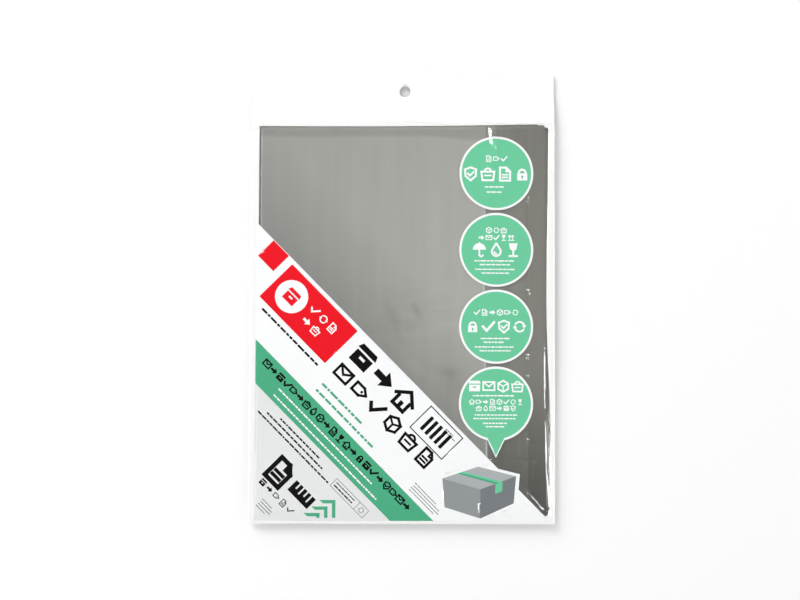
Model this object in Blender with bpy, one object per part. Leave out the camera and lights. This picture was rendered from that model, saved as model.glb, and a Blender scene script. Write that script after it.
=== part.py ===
"""Five poly mailers, folded in half and nested, in a see-through hang pouch.

The pack lies on its back. X runs to the right and Y up towards the header, as one reads the
front. Z runs up through the thickness. Sizes below are millimetres.
"""
import math

import bmesh
import bpy
from mathutils import Matrix, Vector, geometry

MM = 0.001

# One mailer, laid out flat
MAILER_LENGTH = 440.0      # closed bottom to mouth
MAILER_WIDTH = 330.0       # across the side welds
FLAP_LENGTH = 49.0         # past the mouth
FLAP_CORNER = 4.0          # corner cut of the flap
PLY = 0.06                 # one layer of mailer film
POCKET_AIR = 0.06          # between a mailer's two layers
SIDE_WELD = 8.0
BOTTOM_FOLD = 3.0
LINER_WIDTH = 14.5
LINER_INSET = 0.8          # liner edge to flap edge
LINER_END = 2.0            # liner end to side of mailer
LINER_THICK = 0.05
GLUE_WIDTH = 11.0
GLUE_THICK = 0.05
STRIP_GAP = 0.05           # under the glue and under the liner

# The stack of folded mailers: skew in degrees, slide of the fold and lift towards the header
MAILER_SET = (
    (0.20, 1.2, 0.0),
    (-0.03, 0.8, -0.2),
    (-0.18, 0.5, -0.5),
    (-0.10, 0.3, -0.3),
    (0.06, 0.0, -0.2),
)
STACK_GAP = 0.15           # between neighbouring mailers
INNER_FOLD = 0.30          # fold radius of the innermost mailer, at its mid layer
FOLD_STEPS = 8

# The pouch around the stack
FILM = 0.06
WELD_AIR = 0.05            # height that a weld adds to its plies
SIDE_SEAM = 1.6
BOTTOM_SEAM = 2.5
ROOM_LEFT = 7.5            # stack to pouch edge
ROOM_RIGHT = 5.0
ROOM_BOTTOM = 6.2
ROOM_TOP = 7.3             # stack to header
HEADER_HEIGHT = 38.5
FILM_CLEARANCE = 0.2      # film to stack
FOLD_SHOULDER = 1.0        # how far the film still climbs over the round fold
END_SHOULDER = 1.9         # the same at the loose ends on the right
SEAM_LIFT = 1.4            # the welds and the header ride above the flat back
HOLE_DIAMETER = 9.6
HOLE_DROP = 16.7           # top edge to hole centre
HOLE_SHIFT = 1.3           # right of the middle
RAMP_STEPS = 4

# Mouth and closure flap on the back
LIP_DROP = 12.5            # header line down to the end of the back wall
FLAP_OVERLAP = 25.0        # closure flap past the lip
MOUTH_SLOT = 0.3           # lip to closure flap
MOUTH_RAMP = 10.0          # length in which the back wall climbs over the flap
TAPE_WIDTH = 10.0
TAPE_THICK = 0.1
TAPE_INSET = 4.0           # flap end to tape
TAPE_SIDE = 9.0            # pouch side to tape end

# Fields of colour printed on the front wall. A slant runs down to the right; places on it are
# measured along it from the left print edge, and across it, up to the right.
PRINT_INSET = 5.0          # pouch side to print
PRINT_BOTTOM = 2.5
SLANT = -45.3              # degrees
PANEL_RISE = 252.8         # pouch bottom up to the white panel's corner at the left print edge
BAND_DROP = 97.5           # panel corner down to the green band, along the print edge
BAND_WIDTH = 26.0
DISC_RADIUS = 31.4
DISC_RING = 1.9
DISC_PITCH = 65.0
DISC_COUNT = 4
DISC_X = 207.5             # left pouch edge to the column of discs
FIRST_DISC = 86.3          # pouch top to the first disc
POINTER_WIDTH = 14.3       # on the last disc
POINTER_LENGTH = 14.0
SQUARE_SIDE = 18.5
SQUARE_PLACE = (30.2, -9.7)
LABEL_SIZE = (79.0, 38.7)
LABEL_PLACE = (85.9, -22.7)
SEAL_RADIUS = 14.0
SEAL_PLACE = (65.6, -22.9)
BAR_HEIGHT = 13.0
BARS = ((171.0, -14.5, 78.0), (191.0, -38.0, 120.0))
TAG_SIZE = (38.0, 25.2)
TAG_PLACE = (232.6, -15.8)
ROUND_STEPS = 32
WHITE_INK = 1              # the first ink, which also covers the whole back

MAILER_THICK = 2 * PLY + POCKET_AIR
PITCH = MAILER_THICK + STACK_GAP
OUTER_FOLD = INNER_FOLD + (len(MAILER_SET) - 1) * PITCH
HALF_STACK = OUTER_FOLD + MAILER_THICK / 2
FOLDED_LENGTH = (MAILER_LENGTH + FLAP_LENGTH) / 2

POUCH_WIDTH = ROOM_LEFT + FOLDED_LENGTH + ROOM_RIGHT
POUCH_HEIGHT = ROOM_BOTTOM + MAILER_WIDTH + ROOM_TOP + HEADER_HEIGHT
LEFT = -POUCH_WIDTH / 2
RIGHT = POUCH_WIDTH / 2
BOTTOM = -POUCH_HEIGHT / 2
TOP = POUCH_HEIGHT / 2
HEADER_LINE = TOP - HEADER_HEIGHT
STACK_LEFT = LEFT + ROOM_LEFT
STACK_BOTTOM = BOTTOM + ROOM_BOTTOM
LIP_END = HEADER_LINE - LIP_DROP
FLAP_END = LIP_END - FLAP_OVERLAP
LIP_LIFT = FILM + WELD_AIR + MOUTH_SLOT
STACK_FLOOR = FILM + LIP_LIFT + FILM_CLEARANCE
FOLD_AXIS_X = STACK_LEFT + HALF_STACK
FOLD_AXIS_Z = STACK_FLOOR + HALF_STACK
FRONT_RISE = STACK_FLOOR + 2 * HALF_STACK + FILM_CLEARANCE - FILM - WELD_AIR


def collection(name):
    group = bpy.data.collections.new(name)
    bpy.context.scene.collection.children.link(group)
    return group


def material(name, colour, roughness, alpha=1.0):
    made = bpy.data.materials.new(name)
    made.use_nodes = True
    shader = made.node_tree.nodes["Principled BSDF"]
    shader.inputs["Base Color"].default_value = (*colour, 1.0)
    shader.inputs["Roughness"].default_value = roughness
    shader.inputs["Metallic"].default_value = 0.0
    shader.inputs["Alpha"].default_value = alpha
    return made


def add_object(name, mesh_in_mm, group, look=None):
    """Turn a bmesh in millimetres into a named object in metres."""
    bmesh.ops.scale(mesh_in_mm, vec=(MM, MM, MM), verts=mesh_in_mm.verts)
    bmesh.ops.recalc_face_normals(mesh_in_mm, faces=mesh_in_mm.faces)
    mesh = bpy.data.meshes.new(name)
    mesh_in_mm.to_mesh(mesh)
    mesh_in_mm.free()
    made = bpy.data.objects.new(name, mesh)
    group.objects.link(made)
    if look:
        mesh.materials.append(look)
    return made


def add_cutter(name, mesh_in_mm, group, look):
    """A hidden cutter. The faces that it leaves take its look."""
    made = add_object(name, mesh_in_mm, group, look)
    made.hide_render = True
    made.display_type = "WIRE"
    return made


def cut(target, cutter):
    boolean = target.modifiers.new("cut_" + cutter.name, "BOOLEAN")
    boolean.operation = "DIFFERENCE"
    boolean.material_mode = "TRANSFER"
    boolean.object = cutter


def box(low, high):
    """A box between two corners, as a bmesh."""
    low, high = Vector(low), Vector(high)
    made = bmesh.new()
    place = Matrix.Translation((low + high) / 2) @ Matrix.Diagonal((*(high - low), 1.0))
    bmesh.ops.create_cube(made, size=1.0, matrix=place)
    return made


def slice_at(made, axis, places):
    """Add an edge loop at each place along an axis."""
    normal = [0.0, 0.0, 0.0]
    normal[axis] = 1.0
    for place in places:
        point = [0.0, 0.0, 0.0]
        point[axis] = place
        everything = made.verts[:] + made.edges[:] + made.faces[:]
        bmesh.ops.bisect_plane(made, geom=everything, dist=1e-6, plane_co=point, plane_no=normal)


def steps(start, end, count):
    return [start + (end - start) * i / count for i in range(count + 1)]


def flat_pattern(x_lines, y_lines, outlines):
    """One triangulation that holds every grid line and every outline."""
    points, edges = [], []

    def add_loop(loop, closed):
        first = len(points)
        points.extend(Vector(place) for place in loop)
        edges.extend((first + i, first + i + 1) for i in range(len(loop) - 1))
        if closed:
            edges.append((len(points) - 1, first))

    for x in x_lines:
        add_loop([(x, y) for y in y_lines], closed=False)
    for y in y_lines:
        add_loop([(x, y) for x in x_lines], closed=False)
    for outline in outlines:
        add_loop(outline, closed=True)
    result = geometry.delaunay_2d_cdt(points, edges, [], 1, 1e-4)
    return result[0], result[2]


def slab(pattern, x_reach, y_reach, low, high, field_at=None, under_ink=0):
    """The pattern's triangles inside a rectangle, between two height functions of x and y."""
    places, triangles = pattern
    inside = []
    for triangle in triangles:
        middle = sum((places[i] for i in triangle), Vector((0, 0))) / 3
        if x_reach[0] < middle.x < x_reach[1] and y_reach[0] < middle.y < y_reach[1]:
            inside.append((triangle, middle))
    made = bmesh.new()
    under, over = {}, {}
    for index in {i for triangle, middle in inside for i in triangle}:
        x, y = places[index]
        under[index] = made.verts.new((x, y, low(x, y)))
        over[index] = made.verts.new((x, y, high(x, y)))
    sides = set()
    for triangle, middle in inside:
        bottom = made.faces.new([under[i] for i in reversed(triangle)])
        bottom.material_index = under_ink
        top = made.faces.new([over[i] for i in triangle])
        if field_at:
            top.material_index = field_at(middle)
        sides.update(zip(triangle, triangle[1:] + triangle[:1]))
    for start, end in sides:
        if (end, start) not in sides:
            made.faces.new([under[start], under[end], over[end], over[start]])
    return made


def is_inside(place, outline):
    """Whether a place lies in a closed outline, by counting the sides that it lies left of."""
    crossings = 0
    for start, end in zip(outline, outline[1:] + outline[:1]):
        if (start.y > place.y) != (end.y > place.y):
            share = (place.y - start.y) / (end.y - start.y)
            crossings += place.x < start.x + share * (end.x - start.x)
    return crossings % 2 == 1


# Mailers

def flat_mailer(group, cutters, looks):
    """One open mailer: u along its length, v across, w through, with the front ply at high w."""
    full = MAILER_LENGTH + FLAP_LENGTH
    half = MAILER_THICK / 2
    body = box((0, 0, -half), (full, MAILER_WIDTH, half))
    corners = [e for e in body.edges if all(v.co.x > full - 1 for v in e.verts)
               and abs(e.verts[0].co.z - e.verts[1].co.z) > half]
    bmesh.ops.bevel(body, geom=corners, offset=FLAP_CORNER, segments=3, profile=0.5, affect="EDGES")
    sheet = add_object("flat_mailer", body, group, looks["mailer"])
    above_flap = box((MAILER_LENGTH, -1, -half + PLY), (full + 1, MAILER_WIDTH + 1, half + 1))
    pocket = box((BOTTOM_FOLD, SIDE_WELD, -half + PLY),
                 (MAILER_LENGTH + 1, MAILER_WIDTH - SIDE_WELD, half - PLY))
    cut(sheet, add_cutter("above_flap", above_flap, cutters, looks["mailer_inside"]))
    cut(sheet, add_cutter("mailer_pocket", pocket, cutters, looks["mailer_inside"]))
    bpy.context.view_layer.update()
    evaluated = sheet.evaluated_get(bpy.context.evaluated_depsgraph_get())
    finished = bpy.data.meshes.new_from_object(evaluated)
    bpy.data.objects.remove(sheet)
    return finished


def flat_strip(width, from_edge, low, thick):
    """A strip across the flap, in the same flat axes as the mailer."""
    far = MAILER_LENGTH + FLAP_LENGTH - from_edge
    return box((far - width, LINER_END, low), (far, MAILER_WIDTH - LINER_END, low + thick))


def fold(made, index):
    """Skew a flat piece, slice it at the fold and wrap it round the common fold axis."""
    skew, slide, lift = MAILER_SET[index]
    radius = OUTER_FOLD - index * PITCH
    middle = Vector((FOLDED_LENGTH + slide, MAILER_WIDTH / 2, 0))
    turn = Matrix.Rotation(math.radians(skew), 4, "Z")
    bmesh.ops.transform(made, matrix=turn @ Matrix.Translation(-middle), verts=made.verts)
    half_arc = math.pi / 2 * radius
    slice_at(made, 0, steps(-half_arc, half_arc, FOLD_STEPS))
    for vert in made.verts:
        along, across, through = vert.co
        reach = radius + through
        angle = max(-math.pi / 2, min(math.pi / 2, along / radius))
        straight = max(0.0, abs(along) - half_arc)
        vert.co.x = FOLD_AXIS_X - reach * math.cos(angle) + straight
        vert.co.y = STACK_BOTTOM + MAILER_WIDTH / 2 + lift + across
        vert.co.z = FOLD_AXIS_Z + reach * math.sin(angle)


def build_mailers(group, cutters, looks):
    flat = flat_mailer(group, cutters, looks)
    inner_face = -MAILER_THICK / 2 + PLY
    glue_inset = LINER_INSET + (LINER_WIDTH - GLUE_WIDTH) / 2
    for index in range(len(MAILER_SET)):
        number = str(index + 1)
        sheet = bmesh.new()
        sheet.from_mesh(flat)
        bmesh.ops.scale(sheet, vec=(1 / MM, 1 / MM, 1 / MM), verts=sheet.verts)
        fold(sheet, index)
        mailer = add_object("mailer_" + number, sheet, group, looks["mailer"])
        mailer.data.materials.append(looks["mailer_inside"])
        glue = flat_strip(GLUE_WIDTH, glue_inset, inner_face + STRIP_GAP, GLUE_THICK)
        fold(glue, index)
        add_object("glue_strip_" + number, glue, group, looks["glue"])
        above_glue = inner_face + 2 * STRIP_GAP + GLUE_THICK
        liner = flat_strip(LINER_WIDTH, LINER_INSET, above_glue, LINER_THICK)
        fold(liner, index)
        add_object("release_liner_" + number, liner, group, looks["liner"])
    bpy.data.meshes.remove(flat)


# Pouch

def ease(distance, length):
    """Rise from 0 at a seam to 1 where the film lies on the stack, as a quarter of an ellipse."""
    share = max(0.0, min(1.0, distance / length))
    return math.sqrt(1 - (1 - share) ** 2)


SEAM_LEFT = LEFT + SIDE_SEAM
SEAM_RIGHT = RIGHT - SIDE_SEAM
SEAM_BOTTOM = BOTTOM + BOTTOM_SEAM
RAMP_LEFT = ROOM_LEFT - SIDE_SEAM + FOLD_SHOULDER
RAMP_RIGHT = ROOM_RIGHT - SIDE_SEAM + END_SHOULDER
RAMP_BOTTOM = ROOM_BOTTOM - BOTTOM_SEAM - FILM_CLEARANCE
RAMP_TOP = ROOM_TOP - FILM_CLEARANCE


def side_rise(x):
    return ease(x - SEAM_LEFT, RAMP_LEFT) * ease(SEAM_RIGHT - x, RAMP_RIGHT)


def end_rise(y):
    return ease(y - SEAM_BOTTOM, RAMP_BOTTOM) * ease(HEADER_LINE - y, RAMP_TOP)


def lift(x, y):
    """The whole pouch is raised towards its welds, where the full stack no longer presses it down."""
    return SEAM_LIFT * (1 - side_rise(x) * end_rise(y))


def overlap(y):
    """How much of the lip's lift the back wall has: none low down, all of it at the closure flap."""
    climb = (y - (FLAP_END - MOUTH_RAMP)) / MOUTH_RAMP
    fall = (HEADER_LINE - y) / (HEADER_LINE - LIP_END)
    return max(0.0, min(1.0, climb, fall))


def back_inside(x, y):
    return FILM + (FILM + WELD_AIR + MOUTH_SLOT * side_rise(x)) * overlap(y)


def front_inside(x, y):
    plies_under = (FILM + WELD_AIR) * overlap(y)
    climb = (FRONT_RISE - plies_under) * side_rise(x) * end_rise(y)
    return FILM + WELD_AIR + plies_under + climb


# Printed fields

PRINT_LEFT = LEFT + PRINT_INSET
PRINT_FLOOR = BOTTOM + PRINT_BOTTOM
PANEL_CORNER_Y = BOTTOM + PANEL_RISE
SLANT_TURN = math.radians(SLANT)


def on_slant(along, across):
    """A place on the front, from its place along and across the slant."""
    turn = Matrix.Rotation(SLANT_TURN, 2)
    return turn @ Vector((along, across)) + Vector((PRINT_LEFT, PANEL_CORNER_Y))


def slant_strip(upper, lower):
    """The part of the print between two slanted lines, cut off by its left and bottom edges."""
    def left_end(across):
        return Vector((PRINT_LEFT, PANEL_CORNER_Y + across / math.cos(SLANT_TURN)))

    def floor_end(across):
        rise = left_end(across).y - PRINT_FLOOR
        return Vector((PRINT_LEFT - rise / math.tan(SLANT_TURN), PRINT_FLOOR))

    corner = [Vector((PRINT_LEFT, PRINT_FLOOR))]
    lower_ends = corner if lower is None else [floor_end(lower), left_end(lower)]
    return [left_end(upper), floor_end(upper)] + lower_ends


def slant_box(centre, size):
    along, across = centre
    half_long, half_tall = size[0] / 2, size[1] / 2
    signs = ((-1, -1), (1, -1), (1, 1), (-1, 1))
    return [on_slant(along + i * half_long, across + j * half_tall) for i, j in signs]


def circle(centre, radius, start=0.0, end=2 * math.pi):
    turns = steps(start, end, ROUND_STEPS)
    if end - start >= 2 * math.pi:
        turns.pop()
    return [Vector(centre) + radius * Vector((math.cos(t), math.sin(t))) for t in turns]


def disc(number, radius):
    """One disc of the column. The last one has a pointer, like a speech mark."""
    centre = (LEFT + DISC_X, TOP - FIRST_DISC - number * DISC_PITCH)
    if number < DISC_COUNT - 1:
        return circle(centre, radius)
    half = math.asin(POINTER_WIDTH / 2 / radius)
    down = -math.pi / 2
    tip = Vector(centre) - Vector((0, radius + POINTER_LENGTH))
    return circle(centre, radius, down + half, down + 2 * math.pi - half) + [tip]


def printed_fields():
    """Outlines with the number of their ink, lowest layer first."""
    white, green, red, black, leaf = WHITE_INK, 2, 3, 4, 5
    header = [(LEFT, HEADER_LINE), (RIGHT, HEADER_LINE), (RIGHT, TOP), (LEFT, TOP)]
    fields = [([Vector(place) for place in header], white), (slant_strip(0.0, None), white)]
    band_top = -BAND_DROP * math.cos(SLANT_TURN)
    fields.append((slant_strip(band_top, band_top - BAND_WIDTH), leaf))
    fields.append((slant_box(SQUARE_PLACE, (SQUARE_SIDE, SQUARE_SIDE)), red))
    fields.append((slant_box(LABEL_PLACE, LABEL_SIZE), red))
    fields.append((circle(on_slant(*SEAL_PLACE), SEAL_RADIUS), white))
    for along, across, length in BARS:
        fields.append((slant_box((along, across), (length, BAR_HEIGHT)), black))
    fields.append((slant_box(TAG_PLACE, TAG_SIZE), black))
    for number in range(DISC_COUNT):
        fields.append((disc(number, DISC_RADIUS), white))
        fields.append((disc(number, DISC_RADIUS - DISC_RING), green))
    return fields


def raise_edges(mesh_in_mm):
    for vert in mesh_in_mm.verts:
        vert.co.z += lift(vert.co.x, vert.co.y)


def build_pouch(group, cutters, looks):
    x_lines = steps(SEAM_LEFT, SEAM_LEFT + RAMP_LEFT, RAMP_STEPS)
    x_lines += steps(SEAM_RIGHT - RAMP_RIGHT, SEAM_RIGHT, RAMP_STEPS)
    mouth_lines = [FLAP_END - MOUTH_RAMP, FLAP_END, LIP_END]
    y_lines = steps(SEAM_BOTTOM, SEAM_BOTTOM + RAMP_BOTTOM, RAMP_STEPS) + mouth_lines
    y_lines += steps(HEADER_LINE - RAMP_TOP, HEADER_LINE, RAMP_STEPS)
    fields = printed_fields()
    pattern = flat_pattern([LEFT] + x_lines + [RIGHT], [BOTTOM] + y_lines + [TOP],
                           [outline for outline, ink in fields])

    def field_at(place):
        inks = [ink for outline, ink in fields if is_inside(place, outline)]
        return inks[-1] if inks else 0

    outside = slab(pattern, (LEFT, RIGHT), (BOTTOM, TOP), lambda x, y: 0.0,
                   lambda x, y: front_inside(x, y) + FILM, field_at, WHITE_INK)
    raise_edges(outside)
    pouch = add_object("film_pouch", outside, group, looks["film"])
    for ink in ("white_ink", "green_ink", "red_ink", "black_ink", "band_ink"):
        pouch.data.materials.append(looks[ink])

    room = slab(pattern, (SEAM_LEFT, SEAM_RIGHT), (SEAM_BOTTOM, HEADER_LINE),
                back_inside, front_inside)
    raise_edges(room)
    cut(pouch, add_cutter("pouch_room", room, cutters, looks["film"]))

    # Air under the climbing back wall, and between the lip and the closure flap
    below = -1.0
    over_lip = FILM_CLEARANCE
    profile = ((FLAP_END - MOUTH_RAMP, below), (FLAP_END - MOUTH_RAMP, 0.0), (FLAP_END, LIP_LIFT),
               (LIP_END + over_lip, LIP_LIFT), (LIP_END + over_lip, FILM), (FLAP_END, FILM),
               (FLAP_END, below))
    slot = bmesh.new()
    outline = slot.faces.new([slot.verts.new((SEAM_LEFT, y, z)) for y, z in profile])
    swept = bmesh.ops.extrude_face_region(slot, geom=[outline])
    moved = [item for item in swept["geom"] if isinstance(item, bmesh.types.BMVert)]
    bmesh.ops.translate(slot, vec=(SEAM_RIGHT - SEAM_LEFT, 0, 0), verts=moved)
    slice_at(slot, 0, x_lines[1:-1])
    for vert in slot.verts:
        if vert.co.z > LIP_LIFT - PLY:
            vert.co.z = FILM + WELD_AIR + MOUTH_SLOT * side_rise(vert.co.x)
    raise_edges(slot)
    cut(pouch, add_cutter("mouth_slot", slot, cutters, looks["white_ink"]))

    throat_lines = [SEAM_LEFT + over_lip] + x_lines[1:-1] + [SEAM_RIGHT - over_lip]
    throat_pattern = flat_pattern(throat_lines, steps(LIP_END, HEADER_LINE - over_lip, RAMP_STEPS), [])
    throat = slab(throat_pattern, (LEFT, RIGHT), (BOTTOM, TOP), lambda x, y: FILM,
                  lambda x, y: (back_inside(x, y) + front_inside(x, y)) / 2)
    raise_edges(throat)
    cut(pouch, add_cutter("mouth_throat", throat, cutters, looks["film"]))

    hole = bmesh.new()
    centre = Matrix.Translation((HOLE_SHIFT, TOP - HOLE_DROP, 0))
    bmesh.ops.create_cone(hole, cap_ends=True, segments=ROUND_STEPS, radius1=HOLE_DIAMETER / 2,
                          radius2=HOLE_DIAMETER / 2, depth=HOLE_DIAMETER, matrix=centre)
    cut(pouch, add_cutter("hang_hole", hole, cutters, looks["white_ink"]))

    tape_low = FILM + (LIP_LIFT - FILM - TAPE_THICK) / 2
    tape = box((LEFT + TAPE_SIDE, FLAP_END + TAPE_INSET, tape_low),
               (RIGHT - TAPE_SIDE, FLAP_END + TAPE_INSET + TAPE_WIDTH, tape_low + TAPE_THICK))
    add_object("closure_tape", tape, group, looks["tape"])


def main():
    for old in list(bpy.data.objects):
        bpy.data.objects.remove(old)
    pack = collection("mailer_pack")
    cutters = collection("cutters")
    looks = {
        "mailer": material("grey_mailer_film", (0.36, 0.36, 0.33), 0.42),
        "mailer_inside": material("dark_mailer_inside", (0.20, 0.20, 0.17), 0.38),
        "glue": material("hot_melt_glue", (0.75, 0.72, 0.62), 0.35),
        "liner": material("release_liner", (0.25, 0.25, 0.22), 0.25),
        "film": material("clear_pouch_film", (0.92, 0.93, 0.93), 0.12, alpha=0.08),
        "white_ink": material("white_print", (0.90, 0.90, 0.91), 0.25),
        "green_ink": material("green_print", (0.16, 0.60, 0.35), 0.25),
        "red_ink": material("red_print", (0.87, 0.01, 0.02), 0.25),
        "black_ink": material("black_print", (0.01, 0.01, 0.01), 0.25),
        "band_ink": material("leaf_green_print", (0.08, 0.43, 0.24), 0.25),
        "tape": material("closure_tape", (0.85, 0.85, 0.82), 0.3),
    }
    build_mailers(pack, cutters, looks)
    build_pouch(pack, cutters, looks)


main()
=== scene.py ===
import math

import bpy
import numpy as np
from mathutils import Matrix, Vector, geometry, noise


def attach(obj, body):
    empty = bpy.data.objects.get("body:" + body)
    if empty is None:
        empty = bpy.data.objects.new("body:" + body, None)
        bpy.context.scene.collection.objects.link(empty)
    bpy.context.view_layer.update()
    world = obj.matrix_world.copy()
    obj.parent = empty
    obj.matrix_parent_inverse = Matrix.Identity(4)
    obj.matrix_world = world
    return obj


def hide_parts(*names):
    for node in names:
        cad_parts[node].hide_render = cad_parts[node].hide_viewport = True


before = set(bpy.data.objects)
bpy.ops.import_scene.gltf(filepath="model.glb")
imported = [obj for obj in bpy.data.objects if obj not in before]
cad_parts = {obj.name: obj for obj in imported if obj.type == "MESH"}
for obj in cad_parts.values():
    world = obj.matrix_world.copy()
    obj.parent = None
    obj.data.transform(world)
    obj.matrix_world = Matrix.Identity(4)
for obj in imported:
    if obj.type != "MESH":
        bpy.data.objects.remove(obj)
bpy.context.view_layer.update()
mm = 0.001  # every size below is in millimetres and turned into metres where a mesh is made
print("frame loaded")


# Helpers

def wire(tree, socket, value):
    if isinstance(value, bpy.types.NodeSocket):
        tree.links.new(value, socket)
    else:
        socket.default_value = value


def addNode(tree, kind, inputs=None, **settings):
    node = tree.nodes.new(kind)
    for name, value in settings.items():
        setattr(node, name, value)
    for key, value in (inputs or {}).items():
        wire(tree, node.inputs[key], value)
    return node


def geoNode(tree, kind, inputs=None, **settings):
    return addNode(tree, "GeometryNode" + kind, inputs, **settings).outputs[0]


def maths(tree, operation, *values):
    # One Math node, or a chain of them where more than two values are joined
    node = addNode(tree, "ShaderNodeMath", operation=operation)
    for socket, value in zip(node.inputs, values[:2]):
        wire(tree, socket, value)
    joined = node.outputs[0]
    return maths(tree, operation, joined, *values[2:]) if len(values) > 2 else joined


def plus(tree, *values):
    return maths(tree, "ADD", *values)


def minus(tree, first, second):
    return maths(tree, "SUBTRACT", first, second)


def times(tree, *values):
    return maths(tree, "MULTIPLY", *values)


def ramp(tree, value, low, high, atLow, atHigh, curve="SMOOTHSTEP"):
    return addNode(tree, "ShaderNodeMapRange", {
        "Value": value, "From Min": low, "From Max": high, "To Min": atLow, "To Max": atHigh,
    }, interpolation_type=curve).outputs["Result"]


def noiseFrom(tree, place, scale, detail, **more):
    inputs = {"Vector": place, "Scale": scale, "Detail": detail, **more}
    return addNode(tree, "ShaderNodeTexNoise", inputs).outputs["Fac"]


def splitPlace(tree, place):
    return addNode(tree, "ShaderNodeSeparateXYZ", {"Vector": place}).outputs


def joinPlace(tree, **parts):
    return addNode(tree, "ShaderNodeCombineXYZ", parts).outputs[0]


def stretched(tree, place, scale, turn=0.0):
    inputs = {"Vector": place, "Rotation": (0.0, 0.0, turn), "Scale": scale}
    return addNode(tree, "ShaderNodeMapping", inputs).outputs["Vector"]


def scaleVector(tree, vector, scale):
    return addNode(tree, "ShaderNodeVectorMath", {0: vector, "Scale": scale},
                   operation="SCALE").outputs[0]


def newGroup(name, kind, inputs, outputs):
    tree = bpy.data.node_groups.new(name, kind)
    for label, socketType, *value in inputs:
        socket = tree.interface.new_socket(name=label, in_out="INPUT",
                                           socket_type="NodeSocket" + socketType)
        if value:
            socket.default_value = value[0]
    for label, socketType in outputs:
        tree.interface.new_socket(name=label, in_out="OUTPUT",
                                  socket_type="NodeSocket" + socketType)
    return tree, tree.nodes.new("NodeGroupInput").outputs, tree.nodes.new("NodeGroupOutput").inputs


def newMaterial(name, colour, roughness, **constants):
    material = bpy.data.materials.new(name)
    material.use_nodes = True
    shader = material.node_tree.nodes["Principled BSDF"]
    shader.inputs["Base Color"].default_value = (*colour, 1)
    shader.inputs["Roughness"].default_value = roughness
    for key, value in constants.items():
        shader.inputs[key.replace("_", " ")].default_value = value
    return material, material.node_tree, shader


def meshPiece(name, vertsInMm, faces, materials, faceInks=None):
    mesh = bpy.data.meshes.new(name)
    mesh.from_pydata((np.asarray(vertsInMm) * mm).tolist(), [], faces)
    for material in materials:
        mesh.materials.append(material)
    if faceInks is not None:
        mesh.polygons.foreach_set("material_index", faceInks)
    mesh.update()
    piece = bpy.data.objects.new(name, mesh)
    bpy.context.scene.collection.objects.link(piece)
    return piece


def runTree(piece, tree, values):
    # Runs a Geometry Nodes tree on the piece and keeps the result as its plain mesh
    modifier = piece.modifiers.new(tree.name, "NODES")
    modifier.node_group = tree
    for item in tree.interface.items_tree:
        if item.item_type == "SOCKET" and item.in_out == "INPUT" and item.name in values:
            modifier[item.identifier] = values[item.name]
    bpy.context.view_layer.update()
    evaluated = piece.evaluated_get(bpy.context.evaluated_depsgraph_get())
    finished = bpy.data.meshes.new_from_object(evaluated)
    piece.modifiers.clear()
    piece.data = finished


def smoothThick(piece, thickness, inside=0):
    # Shades the sheet smooth and thickens it. Inner faces take the material this many slots on.
    for polygon in piece.data.polygons:
        polygon.use_smooth = True
    solid = piece.modifiers.new("thickness", "SOLIDIFY")
    solid.thickness = thickness * mm
    solid.offset = -1.0
    solid.material_offset = inside


def spread(places, longest):
    # Fills the gaps between fixed places with even steps no longer than the given length
    filled = [places[0]]
    for start, end in zip(places, places[1:]):
        count = max(1, math.ceil((end - start) / longest - 1e-6))
        filled += [start + (end - start) * i / count for i in range(1, count + 1)]
    return filled


def spreadAll(*stretches):
    # Several stretches in a row: each is its places and its longest step
    lines = spread(*stretches[0])
    for places, longest in stretches[1:]:
        lines += spread(places, longest)[1:]
    return lines


# Camera, floor and lights

studio = {
    "cameraPlace": (-0.0170, -0.0366, 0.9414),
    "cameraTurn": (2.033, -0.911, 0.283),
    "lens": 50.0,
    "sensor": 36.0,
    "clip": (0.01, 50.0),
    "floorSize": 6.0,
    "floorDrop": 1.9,  # the pack lies slightly bowed and touches the floor only near its middle
    "floorColour": (0.93, 0.93, 0.93),
    "floorGlow": 0.04,  # only for what the camera, a mirror or clear film sees
    "skyLevel": 0.985,
    "overheadLevel": 0.14,
    "overheadFrom": (0.75, 0.95),
}

# Place, width and height, brightness, and whether the lamp shows in gloss only
lamps = {
    "keyLamp": ((-1.62, 2.28, 1.55), (2.1, 2.1), 5.3, False),
    "sideLamp": ((1.15, -0.15, 1.00), (0.7, 0.9), 24.0, True),
    "sparkLamp": ((-0.85, 0.42, 1.10), (0.85, 0.40), 30.0, True),
}


def makeCamera():
    data = bpy.data.cameras.new("camera")
    data.lens = studio["lens"]
    data.sensor_width = studio["sensor"]
    data.clip_start, data.clip_end = studio["clip"]
    camera = bpy.data.objects.new("camera", data)
    camera.location = studio["cameraPlace"]
    camera.rotation_euler = [math.radians(turn) for turn in studio["cameraTurn"]]
    bpy.context.scene.collection.objects.link(camera)
    bpy.context.scene.camera = camera


def makeFloor():
    material, tree, shader = newMaterial("studioFloor", studio["floorColour"], 0.9,
                                         Specular_IOR_Level=0.0, Emission_Color=(1, 1, 1, 1))
    path = addNode(tree, "ShaderNodeLightPath").outputs
    seen = maths(tree, "MAXIMUM", path["Is Camera Ray"],
                 maths(tree, "MAXIMUM", path["Is Glossy Ray"], path["Is Transmission Ray"]))
    wire(tree, shader.inputs["Emission Strength"], times(tree, seen, studio["floorGlow"]))
    half = studio["floorSize"] / mm / 2
    z = -studio["floorDrop"]
    corners = [(-half, -half, z), (half, -half, z), (half, half, z), (-half, half, z)]
    floor = meshPiece("studioFloor", corners, [(0, 1, 2, 3)], [material])


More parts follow.
